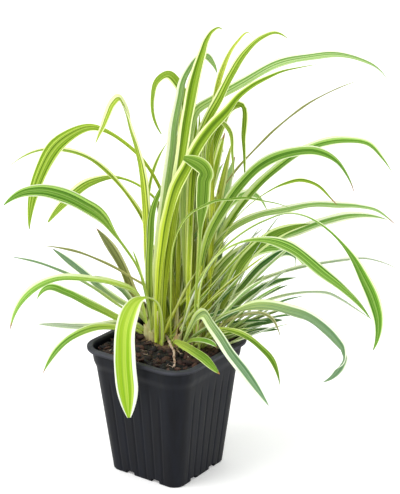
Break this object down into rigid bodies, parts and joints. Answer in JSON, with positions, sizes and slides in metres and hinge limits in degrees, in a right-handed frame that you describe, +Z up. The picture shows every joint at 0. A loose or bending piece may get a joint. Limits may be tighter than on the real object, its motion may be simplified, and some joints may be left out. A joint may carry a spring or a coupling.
{
  "type": "potted lilyturf",
  "caption": "Variegated grass-like lilyturf with arching striped leaves, in a deep square tapered nursery pot with flutes and drain slots.",
  "frame": {"origin": "centre of the pot's underside, on the surface that it stands on", "axes": "+Z straight up; the pot's flat sides face +X, -X, +Y and -Y; the broad leaf hangs over the side that faces -Y"},
  "size_m": [0.3078, 0.2426, 0.3285],
  "materials": {
    "pot_plastic": "satin",
    "compost": "matte",
    "crown": "matte",
    "root": "matte",
    "leaf": "satin"
  },
  "bodies": {
    "root": {"pot": "pot_plastic", "compost": "compost", "crown": "crown", "root_thick": "root", "root_thin_a": "root", "root_thin_b": "root", "leaf_01": "leaf", "leaf_02": "leaf", "leaf_03": "leaf", "leaf_04": "leaf", "leaf_05": "leaf", "leaf_06": "leaf", "leaf_07": "leaf", "leaf_08": "leaf", "leaf_09": "leaf", "leaf_10": "leaf", "leaf_11": "leaf", "leaf_12": "leaf", "leaf_13": "leaf", "leaf_14": "leaf", "leaf_15": "leaf", "leaf_16": "leaf", "leaf_17": "leaf", "leaf_18": "leaf", "leaf_19": "leaf", "leaf_20": "leaf", "leaf_21": "leaf", "leaf_22": "leaf", "leaf_23": "leaf", "leaf_24": "leaf", "leaf_25": "leaf", "leaf_26": "leaf", "leaf_27": "leaf", "leaf_28": "leaf", "leaf_29": "leaf", "leaf_30": "leaf", "leaf_31": "leaf", "leaf_32": "leaf", "leaf_33": "leaf", "leaf_34": "leaf", "leaf_35": "leaf", "leaf_36": "leaf", "leaf_37": "leaf", "leaf_38": "leaf", "leaf_39": "leaf", "leaf_40": "leaf", "leaf_41": "leaf", "leaf_42": "leaf", "leaf_43": "leaf", "leaf_44": "leaf", "leaf_45": "leaf", "leaf_46": "leaf", "leaf_47": "leaf", "leaf_48": "leaf", "leaf_49": "leaf", "leaf_50": "leaf", "leaf_51": "leaf", "leaf_52": "leaf"}
  },
  "joints": []
}
